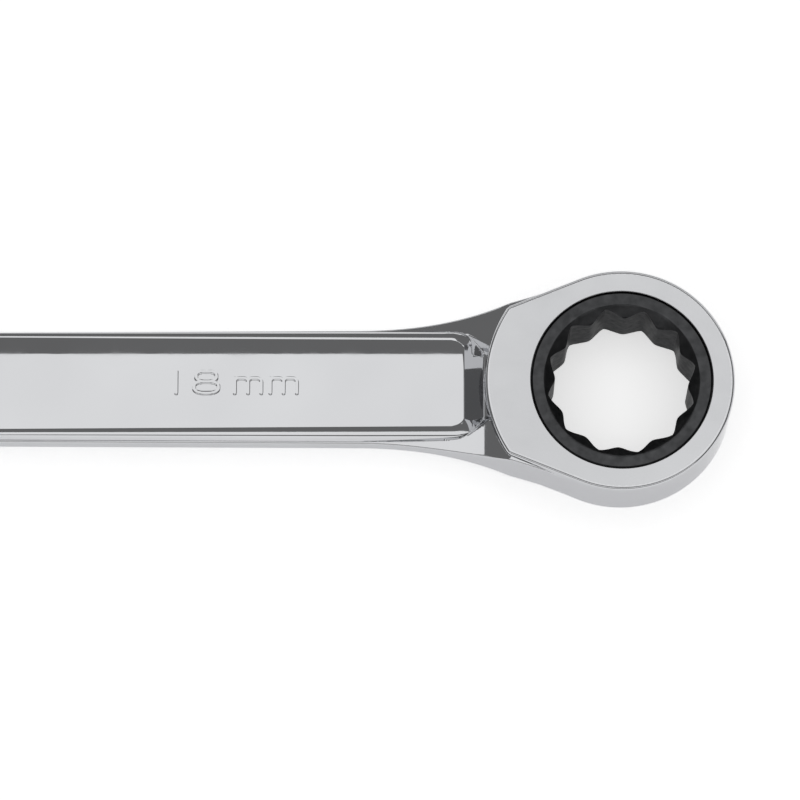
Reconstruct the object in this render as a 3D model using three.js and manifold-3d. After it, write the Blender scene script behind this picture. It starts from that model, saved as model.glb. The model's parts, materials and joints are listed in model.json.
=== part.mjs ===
// Ratcheting combination wrench, 18 mm: an open jaw at one end of a flat forged shank
// and a 72-tooth ratchet ring with a twelve-point opening at the other.
// Millimetres. +X points from the open jaw to the ratchet head, +Z out of the marked face.
// Every piece is drawn about the wrench's middle plane, z = 0, with x measured from the
// gear's axis. The finished group is moved so that its box stands centred on the origin.
import * as THREE from 'three';
import { mergeVertices } from 'three/addons/utils/BufferGeometryUtils.js';
import Module from 'manifold-3d';

const wasm = await Module();
wasm.setup();

// ---- driving dimensions -------------------------------------------------------------

const ACROSS_FLATS = 18;
const HEAD_SPACING = 206.3;
const GAP = 0.3;

// Ratchet head
const HEAD_RADIUS = 16.2;
const HEAD_HALF = 6;
const HEAD_EDGE = 0.6;
const SHOULDER_RADIUS = 19.6;
const SHOULDER_SLOPE = THREE.MathUtils.degToRad(22);

// Shank: a rim plate as wide as the wrench, with a narrower raised panel on each side
const RIM_HALF_WIDTH = 8.17;
const RIM_HALF = 1.4;
const PANEL_HALF_WIDTH = 6.35;
const PANEL_HALF = 4.3;
const PANEL_END = -22.2;
const PANEL_CORNER = 1.6;
const NECK_HALF = 2.6;
const NECK_END = -27;

// Flare from the shank into each head: where it leaves the head's circle, and its length
const RATCHET_FLARE = { slope: THREE.MathUtils.degToRad(21.4), reach: 38 };
const JAW_FLARE = { slope: THREE.MathUtils.degToRad(38), reach: 34 };

// Open jaw
const JAW_RADIUS = 19;
const JAW_HALF = 4.2;
const JAW_EDGE = 0.6;
const JAW_ANGLE = THREE.MathUtils.degToRad(15);
const JAW_CLEARANCE = 0.2;
const JAW_MOUTH = 12.5;
const JAW_TIP_ROUND = 1.6;
const THROAT_BACK = -9.4;
const FLAT_BACK = -4.2;
const JAW_SHOULDER = 22;
const JAW_SHOULDER_SPREAD = THREE.MathUtils.degToRad(23.6);
const JAW_VALLEY = 3;

// Gear: a hub in the front lip, a toothed band, and a back flange with a ring groove
const TEETH = 72;
const TOOTH_TIP = 13.9;
const TOOTH_ROOT = 13.4;
const TOOTH_FLANK = 0.1;
const GEAR_HALF = 5.8;
const HUB_RADIUS = 12.94;
const BAND_TOP = 4.1;
const BAND_BOTTOM = -3.3;
const FLANGE_RADIUS = 13.9;
const POINTS = 12;
const POINT_INNER = 9.36;
const POINT_OUTER = 10.55;
const POINT_CURVE = 1.35;
const POINT_TURN = THREE.MathUtils.degToRad(-3.7);
const LEAD_IN_RADIUS = 11.2;
const BACK_LEAD_IN_RADIUS = 10.3;

// Retaining ring: round wire, half in the head and half in the gear
const RING_Z = -4.6;
const RING_RADIUS = 14;
const RING_WIRE = 0.5;
const RING_OPENING = THREE.MathUtils.degToRad(24);
const RING_OPENING_AT = THREE.MathUtils.degToRad(60);
const GROOVE_HALF = RING_WIRE + 0.25;

// Pawl: a toothed block that slides along -X against its spring
const PAWL_HALF_WIDTH = 3.6;
const PAWL_BACK = -17;
const PAWL_FRONT = -13.14;
const PAWL_BACKLASH = 0.15;
const PAWL_PLAY = THREE.MathUtils.degToRad(0.4);
const PAWL_TRAVEL = 0.7;

// Pawl spring
const SPRING_RADIUS = 0.8;
const SPRING_WIRE = 0.2;
const SPRING_TURNS = 5.5;
const SPRING_INNER_END = -15.4;
const SPRING_OUTER_END = -20.6;
const SPRING_HOLE = SPRING_RADIUS + SPRING_WIRE + GAP;

// Smoothness of round stretches
const ROUND = 80;
const ARC_STEPS = 20;
const POINT_STEPS = 8;
const WIRE_SIDES = 8;
const SPRING_STEPS = 80;
const RING_STEPS = 48;
const HOLE_SIDES = 20;

// How far a cutting shape runs past the faces that it cuts
const OVERSHOOT = 1;

// ---- sizes that follow ---------------------------------------------------------------

const frontBore = HUB_RADIUS + GAP;
const backBore = FLANGE_RADIUS + GAP;
const pocketTop = BAND_TOP + GAP;
const pocketBottom = BAND_BOTTOM - GAP / 2;
const pocketBack = PAWL_BACK - PAWL_TRAVEL - GAP / 2;
const pocketHalfWidth = PAWL_HALF_WIDTH + GAP;
const jawHalfGap = (ACROSS_FLATS + JAW_CLEARANCE) / 2;
const jawX = -HEAD_SPACING;

// ---- solids --------------------------------------------------------------------------

function solid(geometry) {
  const bare = geometry.clone();
  bare.deleteAttribute('normal');
  bare.deleteAttribute('uv');
  const merged = mergeVertices(bare);
  const mesh = new wasm.Mesh({
    numProp: 3,
    vertProperties: new Float32Array(merged.attributes.position.array),
    triVerts: new Uint32Array(merged.index.array),
  });
  return new wasm.Manifold(mesh);
}

function geometryOf(body) {
  const mesh = body.getMesh();
  const geometry = new THREE.BufferGeometry();
  geometry.setAttribute('position', new THREE.BufferAttribute(mesh.vertProperties, 3));
  geometry.setIndex(new THREE.BufferAttribute(mesh.triVerts, 1));
  geometry.computeVertexNormals();
  return geometry;
}

// A flat shape raised from z = low to z = high, with its corners as drawn.
function slab(shape, low, high, curveSegments = ARC_STEPS) {
  const geometry = new THREE.ExtrudeGeometry(shape, {
    depth: high - low,
    bevelEnabled: false,
    curveSegments,
  });
  geometry.translate(0, 0, low);
  return solid(geometry);
}

// A flat shape as thick as 2 * half, with its upper and lower edges rounded inwards.
function roundedSlab(shape, half, edge) {
  const geometry = new THREE.ExtrudeGeometry(shape, {
    depth: 2 * (half - edge),
    bevelThickness: edge,
    bevelSize: edge,
    bevelOffset: -edge,
    bevelSegments: 2,
    curveSegments: ARC_STEPS,
  });
  geometry.translate(0, 0, edge - half);
  return solid(geometry);
}

function cylinder(radius, low, high) {
  const geometry = new THREE.CylinderGeometry(radius, radius, high - low, ROUND);
  geometry.rotateX(Math.PI / 2);
  geometry.translate(0, 0, (low + high) / 2);
  return solid(geometry);
}

function cone(radiusLow, radiusHigh, low, high) {
  const geometry = new THREE.CylinderGeometry(radiusHigh, radiusLow, high - low, ROUND);
  geometry.rotateX(Math.PI / 2);
  geometry.translate(0, 0, (low + high) / 2);
  return solid(geometry);
}

function cylinderAlongX(radius, low, high) {
  const geometry = new THREE.CylinderGeometry(radius, radius, high - low, HOLE_SIDES);
  geometry.rotateZ(Math.PI / 2);
  geometry.translate((low + high) / 2, 0, 0);
  return solid(geometry);
}

function block(lowX, highX, halfWidth, lowZ, highZ) {
  const geometry = new THREE.BoxGeometry(highX - lowX, 2 * halfWidth, highZ - lowZ);
  geometry.translate((lowX + highX) / 2, 0, (lowZ + highZ) / 2);
  return solid(geometry);
}

// A ring of rectangular section, open in the middle, for cutting a groove.
function band(inner, outer, low, high) {
  return cylinder(outer, low, high).subtract(cylinder(inner, low - OVERSHOOT, high + OVERSHOOT));
}

// ---- outlines ------------------------------------------------------------------------

// The whole silhouette: a circle at each end, joined to the shank by two flares.
function silhouette() {
  const { slope, reach } = RATCHET_FLARE;
  const leaveX = -HEAD_RADIUS * Math.sin(slope);
  const leaveY = HEAD_RADIUS * Math.cos(slope);
  const bendX = leaveX - (leaveY - RIM_HALF_WIDTH) / Math.tan(slope);
  const jawLeaveX = jawX + JAW_RADIUS * Math.sin(JAW_FLARE.slope);
  const jawLeaveY = JAW_RADIUS * Math.cos(JAW_FLARE.slope);
  const jawBendX = jawLeaveX + (jawLeaveY - RIM_HALF_WIDTH) / Math.tan(JAW_FLARE.slope);
  const jawReachX = jawX + JAW_FLARE.reach;
  const quarter = Math.PI / 2;

  const shape = new THREE.Shape();
  shape.absarc(0, 0, HEAD_RADIUS, -quarter - slope, quarter + slope, false);
  shape.quadraticCurveTo(bendX, RIM_HALF_WIDTH, -reach, RIM_HALF_WIDTH);
  shape.lineTo(jawReachX, RIM_HALF_WIDTH);
  shape.quadraticCurveTo(jawBendX, RIM_HALF_WIDTH, jawLeaveX, jawLeaveY);
  shape.absarc(jawX, 0, JAW_RADIUS, quarter - JAW_FLARE.slope, JAW_FLARE.slope - quarter, false);
  shape.quadraticCurveTo(jawBendX, -RIM_HALF_WIDTH, jawReachX, -RIM_HALF_WIDTH);
  shape.lineTo(-reach, -RIM_HALF_WIDTH);
  shape.quadraticCurveTo(bendX, -RIM_HALF_WIDTH, leaveX, -leaveY);
  return shape;
}

// The ratchet head's face: its circle, two straight shoulders and a concentric arc.
function headFace() {
  const tangent = Math.PI / 2 + SHOULDER_SLOPE;
  const straight = Math.sqrt(SHOULDER_RADIUS ** 2 - HEAD_RADIUS ** 2);
  const cornerX = HEAD_RADIUS * Math.cos(tangent) - straight * Math.cos(SHOULDER_SLOPE);
  const cornerY = HEAD_RADIUS * Math.sin(tangent) - straight * Math.sin(SHOULDER_SLOPE);
  const corner = Math.atan2(cornerY, cornerX);
  const shape = new THREE.Shape();
  shape.absarc(0, 0, HEAD_RADIUS, -tangent, tangent, false);
  shape.absarc(0, 0, SHOULDER_RADIUS, corner, 2 * Math.PI - corner, false);
  return shape;
}

// The open head's face: its circle, cut off square by a shoulder towards the shank.
function jawFace() {
  const flare = Math.PI / 2 - JAW_FLARE.slope;
  const shape = new THREE.Shape();
  shape.absarc(jawX, 0, JAW_RADIUS, flare, -flare, false);
  shape.absarc(jawX, 0, JAW_SHOULDER, -JAW_SHOULDER_SPREAD, JAW_SHOULDER_SPREAD, false);
  return shape;
}

// The raised panel: a long rectangle with rounded corners.
function panelFace() {
  const low = jawX + JAW_SHOULDER + JAW_VALLEY;
  const high = PANEL_END;
  const w = PANEL_HALF_WIDTH;
  const r = PANEL_CORNER;
  const quarter = Math.PI / 2;
  const shape = new THREE.Shape();
  shape.absarc(high - r, r - w, r, -quarter, 0, false);
  shape.absarc(high - r, w - r, r, 0, quarter, false);
  shape.absarc(low + r, w - r, r, quarter, 2 * quarter, false);
  shape.absarc(low + r, r - w, r, 2 * quarter, 3 * quarter, false);
  return shape;
}

// The slot between the jaws, from its rounded throat out past the mouth, before it is turned.
// u runs out of the mouth and v across the slot.
function jawSlot() {
  const shape = new THREE.Shape();
  const far = JAW_RADIUS + OVERSHOOT;
  shape.moveTo(far, jawHalfGap);
  shape.lineTo(FLAT_BACK, jawHalfGap);
  shape.quadraticCurveTo(THROAT_BACK, jawHalfGap, THROAT_BACK, 0);
  shape.quadraticCurveTo(THROAT_BACK, -jawHalfGap, FLAT_BACK, -jawHalfGap);
  shape.lineTo(far, -jawHalfGap);
  shape.closePath();
  return shape;
}

// What lies beyond the square-cut mouth, with a round corner left on the outside of each jaw.
function jawMouth() {
  const r = JAW_TIP_ROUND;
  const far = 2 * JAW_RADIUS;
  const side = Math.sqrt(JAW_RADIUS ** 2 - JAW_MOUTH ** 2);
  const shape = new THREE.Shape();
  shape.moveTo(JAW_MOUTH, r - side);
  shape.quadraticCurveTo(JAW_MOUTH, -side, JAW_MOUTH - r, -side - r);
  shape.lineTo(far, -far);
  shape.lineTo(far, far);
  shape.lineTo(JAW_MOUTH - r, side + r);
  shape.quadraticCurveTo(JAW_MOUTH, side, JAW_MOUTH, side - r);
  shape.closePath();
  return shape;
}

// Saw teeth: each rises along a ramp with the angle and falls back over a short flank.
function toothedOutline(extra, turn) {
  const pitch = (2 * Math.PI) / TEETH;
  const shape = new THREE.Shape();
  for (let i = 0; i < TEETH; i += 1) {
    const start = i * pitch + turn;
    const tip = start + pitch * (1 - TOOTH_FLANK);
    const root = TOOTH_ROOT + extra;
    const top = TOOTH_TIP + extra;
    shape[i ? 'lineTo' : 'moveTo'](root * Math.cos(start), root * Math.sin(start));
    shape.lineTo(top * Math.cos(tip), top * Math.sin(tip));
  }
  shape.closePath();
  return shape;
}

// Twelve outward points with rounded crests between them, so that nothing sharp meets a nut.
function twelvePointOutline() {
  const pitch = (2 * Math.PI) / POINTS;
  const shape = new THREE.Shape();
  for (let i = 0; i < POINTS * POINT_STEPS; i += 1) {
    const part = ((i % POINT_STEPS) / POINT_STEPS) * 2 - 1;
    const radius = POINT_INNER + (POINT_OUTER - POINT_INNER) * Math.abs(part) ** POINT_CURVE;
    const angle = (i / POINT_STEPS - 0.5) * pitch + POINT_TURN;
    shape[i ? 'lineTo' : 'moveTo'](radius * Math.cos(angle), radius * Math.sin(angle));
  }
  shape.closePath();
  return shape;
}

// ---- pieces --------------------------------------------------------------------------

function gearSeat() {
  const deep = HEAD_HALF + OVERSHOOT;
  return cylinder(frontBore, BAND_TOP, deep)
    .add(cylinder(backBore, -deep, pocketTop))
    .add(cylinder(RING_RADIUS + RING_WIRE + GAP, RING_Z - GROOVE_HALF, RING_Z + GROOVE_HALF))
    .add(block(pocketBack, PAWL_FRONT, pocketHalfWidth, pocketBottom, pocketTop))
    .add(cylinderAlongX(SPRING_HOLE, SPRING_OUTER_END - GAP, PAWL_FRONT));
}

function turnedJawCut(shape) {
  return slab(shape, -2 * JAW_HALF, 2 * JAW_HALF)
    .rotate([0, 0, 180 - THREE.MathUtils.radToDeg(JAW_ANGLE)])
    .translate([jawX, 0, 0]);
}

function wrenchBody() {
  const outline = silhouette();
  const rim = slab(outline, -RIM_HALF, RIM_HALF);
  const neck = slab(outline, -NECK_HALF, NECK_HALF)
    .intersect(block(NECK_END, 0, 2 * HEAD_RADIUS, -HEAD_HALF, HEAD_HALF));
  const panelGeometry = new THREE.ExtrudeGeometry(panelFace(), {
    depth: 2 * RIM_HALF,
    bevelThickness: PANEL_HALF - RIM_HALF,
    bevelSize: RIM_HALF_WIDTH - PANEL_HALF_WIDTH - 0.02,
    bevelSegments: 3,
    curveSegments: 4,
  });
  panelGeometry.translate(0, 0, -RIM_HALF);
  return rim
    .add(neck)
    .add(solid(panelGeometry))
    .add(roundedSlab(headFace(), HEAD_HALF, HEAD_EDGE))
    .add(roundedSlab(jawFace(), JAW_HALF, JAW_EDGE))
    .subtract(gearSeat())
    .subtract(turnedJawCut(jawSlot()))
    .subtract(turnedJawCut(jawMouth()));
}

function ratchetGear() {
  const hub = cylinder(HUB_RADIUS, 0, GEAR_HALF);
  const teeth = slab(toothedOutline(0, 0), BAND_BOTTOM, BAND_TOP);
  const flange = cylinder(FLANGE_RADIUS, -GEAR_HALF, BAND_BOTTOM);
  const groove = band(
    RING_RADIUS - RING_WIRE - GAP,
    FLANGE_RADIUS + OVERSHOOT,
    RING_Z - GROOVE_HALF,
    RING_Z + GROOVE_HALF,
  );
  const deep = GEAR_HALF + OVERSHOOT;
  const opening = slab(twelvePointOutline(), -deep, deep);
  const narrow = POINT_INNER - OVERSHOOT;
  const wide = LEAD_IN_RADIUS + OVERSHOOT;
  const backWide = BACK_LEAD_IN_RADIUS + OVERSHOOT;
  const leadIn = cone(narrow, wide, deep - (wide - narrow), deep);
  const backLeadIn = cone(backWide, narrow, -deep, backWide - narrow - deep);
  return hub.add(teeth).add(flange).subtract(groove).subtract(opening)
    .subtract(leadIn).subtract(backLeadIn);
}

function pawl() {
  const low = BAND_BOTTOM + GAP / 2;
  const blank = block(PAWL_BACK, PAWL_FRONT, PAWL_HALF_WIDTH, low, BAND_TOP);
  const mate = slab(toothedOutline(PAWL_BACKLASH, 0), -HEAD_HALF, HEAD_HALF)
    .add(slab(toothedOutline(PAWL_BACKLASH, PAWL_PLAY), -HEAD_HALF, HEAD_HALF));
  const springHole = cylinderAlongX(SPRING_HOLE, PAWL_BACK - OVERSHOOT, SPRING_INNER_END + GAP);
  return blank.subtract(mate).subtract(springHole);
}

class Helix extends THREE.Curve {
  getPoint(t) {
    const angle = 2 * Math.PI * SPRING_TURNS * t;
    const start = SPRING_INNER_END - SPRING_WIRE;
    const end = SPRING_OUTER_END + SPRING_WIRE;
    return new THREE.Vector3(
      start + (end - start) * t,
      SPRING_RADIUS * Math.cos(angle),
      SPRING_RADIUS * Math.sin(angle),
    );
  }
}

class RingArc extends THREE.Curve {
  getPoint(t) {
    const sweep = 2 * Math.PI - RING_OPENING;
    const angle = RING_OPENING_AT + RING_OPENING / 2 + sweep * t;
    return new THREE.Vector3(
      RING_RADIUS * Math.cos(angle),
      RING_RADIUS * Math.sin(angle),
      RING_Z,
    );
  }
}

function wire(path, radius, steps) {
  const section = new THREE.Shape();
  for (let i = 0; i < WIRE_SIDES; i += 1) {
    const angle = (2 * Math.PI * i) / WIRE_SIDES;
    section[i ? 'lineTo' : 'moveTo'](radius * Math.cos(angle), radius * Math.sin(angle));
  }
  section.closePath();
  return solid(new THREE.ExtrudeGeometry(section, { steps, extrudePath: path }));
}

// ---- assembly ------------------------------------------------------------------------

const chrome = { color: 0xd6d8da, roughness: 0.12, metalness: 1 };
const blackened = { color: 0x2b2c2e, roughness: 0.38, metalness: 0.8 };
const bareSteel = { color: 0x8f9296, roughness: 0.3, metalness: 1 };

function piece(name, body, finish) {
  const mesh = new THREE.Mesh(geometryOf(body), new THREE.MeshStandardMaterial(finish));
  mesh.name = name;
  return mesh;
}

const wrench = new THREE.Group();
wrench.add(
  piece('wrench_body', wrenchBody(), chrome),
  piece('ratchet_gear', ratchetGear(), blackened),
  piece('pawl', pawl(), bareSteel),
  piece('pawl_spring', wire(new Helix(), SPRING_WIRE, SPRING_STEPS), bareSteel),
  piece('retaining_ring', wire(new RingArc(), RING_WIRE, RING_STEPS), bareSteel),
);

const box = new THREE.Box3().setFromObject(wrench);
const centre = box.getCenter(new THREE.Vector3());
wrench.position.set(-centre.x, -centre.y, -box.min.z);

export default wrench;
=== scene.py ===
"""Looks of the 18 mm ratcheting combination wrench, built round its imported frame.

Shapes are drawn in millimetres about the gear's axis: x runs from the open jaw to the ratchet
head, y across the shank, and z up from the wrench's middle plane. place() turns that into the
frame's metres.
"""
import json
import math

import bmesh
import bpy
import numpy as np
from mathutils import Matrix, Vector
from mathutils.geometry import delaunay_2d_cdt
from mathutils.kdtree import KDTree


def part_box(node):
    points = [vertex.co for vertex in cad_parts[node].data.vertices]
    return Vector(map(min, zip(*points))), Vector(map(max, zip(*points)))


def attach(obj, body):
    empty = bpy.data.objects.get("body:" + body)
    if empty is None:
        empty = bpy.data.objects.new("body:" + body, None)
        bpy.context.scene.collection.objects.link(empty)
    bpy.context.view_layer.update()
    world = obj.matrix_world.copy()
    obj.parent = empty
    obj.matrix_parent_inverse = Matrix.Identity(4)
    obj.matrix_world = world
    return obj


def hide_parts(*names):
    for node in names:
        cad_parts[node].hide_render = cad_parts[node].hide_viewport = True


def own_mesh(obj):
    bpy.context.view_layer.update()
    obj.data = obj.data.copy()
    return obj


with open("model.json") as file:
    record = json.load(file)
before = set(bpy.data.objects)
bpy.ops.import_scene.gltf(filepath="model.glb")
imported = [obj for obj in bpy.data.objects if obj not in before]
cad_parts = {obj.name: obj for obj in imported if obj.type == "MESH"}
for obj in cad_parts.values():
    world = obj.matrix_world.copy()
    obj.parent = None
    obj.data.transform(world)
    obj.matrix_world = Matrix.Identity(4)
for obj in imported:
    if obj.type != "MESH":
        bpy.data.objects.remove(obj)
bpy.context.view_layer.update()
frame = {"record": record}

MM = 0.001

# ---- driving sizes, from the frame ------------------------------------------------------

gear_low, gear_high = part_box("ratchet_gear")
spring_low, spring_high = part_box("pawl_spring")
origin = (gear_low + gear_high) / 2
body_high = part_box("wrench_body")[1]
mounts = {m["name"]: m for m in frame["record"]["mounts"]}
nut_seat = (Vector(mounts["jaw_flat_upper"]["pos_m"]) + Vector(mounts["jaw_flat_lower"]["pos_m"])) / 2
jaw_normal = Vector(mounts["jaw_flat_lower"]["axis"])

HEAD_R = (body_high.x - origin.x) / MM
HEAD_TOP = (body_high.z - origin.z) / MM
JAW_R = body_high.y / MM
JAW_SEAT = 4.0
JAW_ACROSS = np.array([jaw_normal.x, jaw_normal.y])
JAW_OUT = np.array([-jaw_normal.y, jaw_normal.x])
JAW = np.array([nut_seat.x - origin.x, nut_seat.y - origin.y]) / MM - JAW_SEAT * JAW_OUT
JAW_GAP = 9.1

# Ratchet head's face
HEAD_TANGENT = math.radians(112)
SHOULDER_R = 19.6
HEAD_EDGE = 0.55

# Open head's face
JAW_TOP = 4.2
JAW_TANGENT = math.radians(52)
JAW_SHOULDER_R = 22.0
JAW_EDGE = 0.6
JAW_MOUTH = 12.5
THROAT_BACK = -9.4
FLAT_BACK = -4.2

# Shank
RIM_AT_HEAD = (-38.0, 8.42)
RIM_AT_MIDDLE = (-89.0, 8.17)
JAW_FLARE = 34.0
RIM_TOP = 1.5
RIM_CLIMB = 3.9
RIM_CLIMB_AT_JAW = 2.1
RIM_EDGE = 0.22
PANEL_TOP = 4.45
PANEL_DROP = 2.9
PANEL_END_DROP = 2.1
PANEL_CROWN = 40.0
PANEL_RIGHT = -22.7
PANEL_LEFT = JAW[0] + 25.0
PANEL_AT_HEAD = (-24.0, 6.33)
PANEL_AT_MIDDLE = (-89.0, 6.74)
PANEL_CORNER = 1.1
BEVEL = 1.9
END_BEVEL = 3.0
END_SCALE = BEVEL / END_BEVEL
FACET = 0.6
FACET_SLOPES = (0.25, 0.55)
LEDGE = 0.2
VALLEY_SLOPE = 0.45
VALLEY_HALF = 6.2
VALLEY_SIDE = 1.4
RIM_LEAN = 0.12
STEEP = 24.0
PANEL_FILLET = 0.15
HEAD_FILLET = 0.35
JAW_FILLET = 0.7

# Gear seat, gear, ring, pawl and spring
FRONT_BORE = 13.08
BACK_BORE = 14.2
SEAT_TOP = 4.4
GROOVE_R = 14.8
GROOVE_HALF = 0.75
POCKET_BACK = -17.85
POCKET_HALF = 3.9
POCKET_LOW = -3.45
RING_Z = -4.6
RING_R = 14.0
RING_WIRE = 0.5
TEETH = 72
TOOTH_TIP = 13.9
TOOTH_ROOT = 13.4
GEAR_TOP = 5.8
HUB_R = 12.94
BAND_TOP = 4.1
BAND_BOTTOM = -3.3
POINTS = 12
POINT_INNER = 9.55
POINT_OUTER = 10.75
POINT_CURVE = 1.35
POINT_TURN = math.radians(-3.2)
LEAD_IN_R = 11.2
BACK_LEAD_IN_R = 10.3
PAWL_BACK = -17.0
PAWL_HALF = 3.6
PAWL_LOW = -3.15
PAWL_BACKLASH = 0.15
SPRING_R = 0.8
SPRING_WIRE = 0.2
SPRING_HOLE = 1.3
SPRING_START = (spring_high.x - origin.x) / MM
SPRING_END = (spring_low.x - origin.x) / MM

# View and light
VIEW_LEFT = -0.0318
VIEW_DOWN = -0.00305
VIEW_ELEVATION = 76.0
VIEW_DISTANCE = 0.83
VIEW_LENS = 261.0
FLOOR_HALF = 15.0
FLOOR_GLOW = 0.55
ROOM_LEVEL = 0.18
OVERHEAD_SIZE = (2.8, 1.5)
OVERHEAD_DISTANCE = 1.5
OVERHEAD_LEVEL = 0.9
SIDE_SIZE = (4.0, 0.6)
SIDE_DISTANCE = 1.8
SIDE_LEAN = math.radians(60)
SIDE_LEVEL = 0.9
WATTS_PER_LEVEL = math.pi


def place(points):
    """Millimetres about the gear's axis, as metres in the frame."""
    return np.asarray(points, float) * MM + np.array(origin)


# ---- small mesh helpers -----------------------------------------------------------------


def mesh_object(name, points, faces, material=None):
    mesh = bpy.data.meshes.new(name)
    mesh.from_pydata([tuple(p) for p in place(points)], [], [tuple(f) for f in faces])
    mesh.validate()
    obj = bpy.data.objects.new(name, mesh)
    bpy.context.collection.objects.link(obj)
    if material:
        mesh.materials.append(material)
    return obj


def smooth_by_angle(obj, degrees):
    mesh = obj.data
    mesh.polygons.foreach_set("use_smooth", np.ones(len(mesh.polygons), bool))
    mesh.set_sharp_from_angle(angle=math.radians(degrees))
    mesh.update()


def grid_faces(rows, columns, wrap_rows=True, wrap_columns=True):
    """Quads of a rows by columns grid of points, closed on itself where asked."""
    faces = []
    for i in range(rows if wrap_rows else rows - 1):
        for j in range(columns if wrap_columns else columns - 1):
            a, b = i * columns + j, i * columns + (j + 1) % columns
            k = (i + 1) % rows
            faces.append((a, b, k * columns + (j + 1) % columns, k * columns + j))
    return faces


def outward(obj):
    """Turns the faces of a closed mesh outwards."""
    shape = bmesh.new()
    shape.from_mesh(obj.data)
    bmesh.ops.recalc_face_normals(shape, faces=shape.faces)
    shape.to_mesh(obj.data)
    shape.free()


def boolean(obj, tool, operation):
    modifier = obj.modifiers.new("cut", "BOOLEAN")
    modifier.object = tool
    modifier.operation = operation
    modifier.solver = "EXACT"
    modifier.material_mode = "TRANSFER"
    depsgraph = bpy.context.evaluated_depsgraph_get()
    mesh = bpy.data.meshes.new_from_object(obj.evaluated_get(depsgraph), depsgraph=depsgraph)
    obj.modifiers.remove(modifier)
    obj.data = mesh
    bpy.data.objects.remove(tool)


def sweep(path, radius, sides, name):
    """A round wire along a list of points, with rounded ends."""
    path = np.array(path, float)
    tangent = np.gradient(path, axis=0)
    tangent /= np.linalg.norm(tangent, axis=1)[:, None]
    side = np.cross(tangent[0], (0.31, 0.17, 0.93))
    rings = []
    angles = np.linspace(0, 2 * math.pi, sides, endpoint=False)
    for i, (p, t) in enumerate(zip(path, tangent)):
        side = side - t * np.dot(side, t)
        side /= np.linalg.norm(side)
        up = np.cross(t, side)
        caps = [(0.0, 1.0)]
        if i == 0:
            caps = [(-math.cos(q), math.sin(q)) for q in (0.15, 0.5, 0.95, 1.3)]
        elif i == len(path) - 1:
            caps = [(math.cos(q), math.sin(q)) for q in (1.3, 0.95, 0.5, 0.15)]
        for along, wide in caps:
            ring = [p + radius * (t * along + wide * (side * math.cos(a) + up * math.sin(a))) for a in angles]
            rings.append(ring)
    points = [q for ring in rings for q in ring]
    faces = grid_faces(len(rings), sides, wrap_rows=False)
    faces.append(tuple(range(sides)))
    faces.append(tuple(reversed(range(len(points) - sides, len(points)))))
    obj = mesh_object(name, points, faces)
    outward(obj)
    smooth_by_angle(obj, 50)
    return obj


# ---- the wrench's outline ---------------------------------------------------------------


def arc(centre, radius, start, end, step):
    count = max(2, int(abs(end - start) * radius / step) + 1)
    angles = np.linspace(start, end, count)
    return [(centre[0] + radius * math.cos(a), centre[1] + radius * math.sin(a)) for a in angles]


def bend(a, b, c, count):
    """A quadratic curve from a to c that leans on b, without its first point."""
    t = np.linspace(0, 1, count + 1)[1:, None]
    a, b, c = (np.array(p, float) for p in (a, b, c))
    return [tuple(p) for p in (1 - t) ** 2 * a + 2 * t * (1 - t) * b + t**2 * c]


def line(a, c, step):
    """A straight run from a to c, without its first point."""
    a, c = np.array(a, float), np.array(c, float)
    count = max(1, int(np.linalg.norm(c - a) / step))
    t = np.linspace(0, 1, count + 1)[1:, None]
    return [tuple(p) for p in a + t * (c - a)]


def in_jaw(out, across):
    """A point of the open head, from its distance out of the mouth and across the slot."""
    return tuple(JAW + out * JAW_OUT + across * JAW_ACROSS)


def upper_half_of_shank():
    """From the ratchet head's circle to the open head's, along +y."""
    slope = HEAD_TANGENT - math.pi / 2 - math.radians(0.6)
    leave = (-HEAD_R * math.sin(slope), HEAD_R * math.cos(slope))
    lean = (leave[0] - (leave[1] - RIM_AT_HEAD[1]) / math.tan(slope), RIM_AT_HEAD[1])
    jaw_slope = math.pi / 2 - JAW_TANGENT
    jaw_leave = (JAW[0] + JAW_R * math.sin(jaw_slope), JAW_R * math.cos(jaw_slope))
    jaw_lean = (jaw_leave[0] + (jaw_leave[1] - RIM_AT_MIDDLE[1]) / math.tan(jaw_slope), RIM_AT_MIDDLE[1])
    jaw_start = (JAW[0] + JAW_FLARE, RIM_AT_MIDDLE[1])
    points = bend(leave, lean, RIM_AT_HEAD, 60)
    points += line(points[-1], RIM_AT_MIDDLE, 2.5)
    points += line(points[-1], jaw_start, 2.5)
    points += bend(jaw_start, jaw_lean, jaw_leave, 50)
    return slope, points


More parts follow.
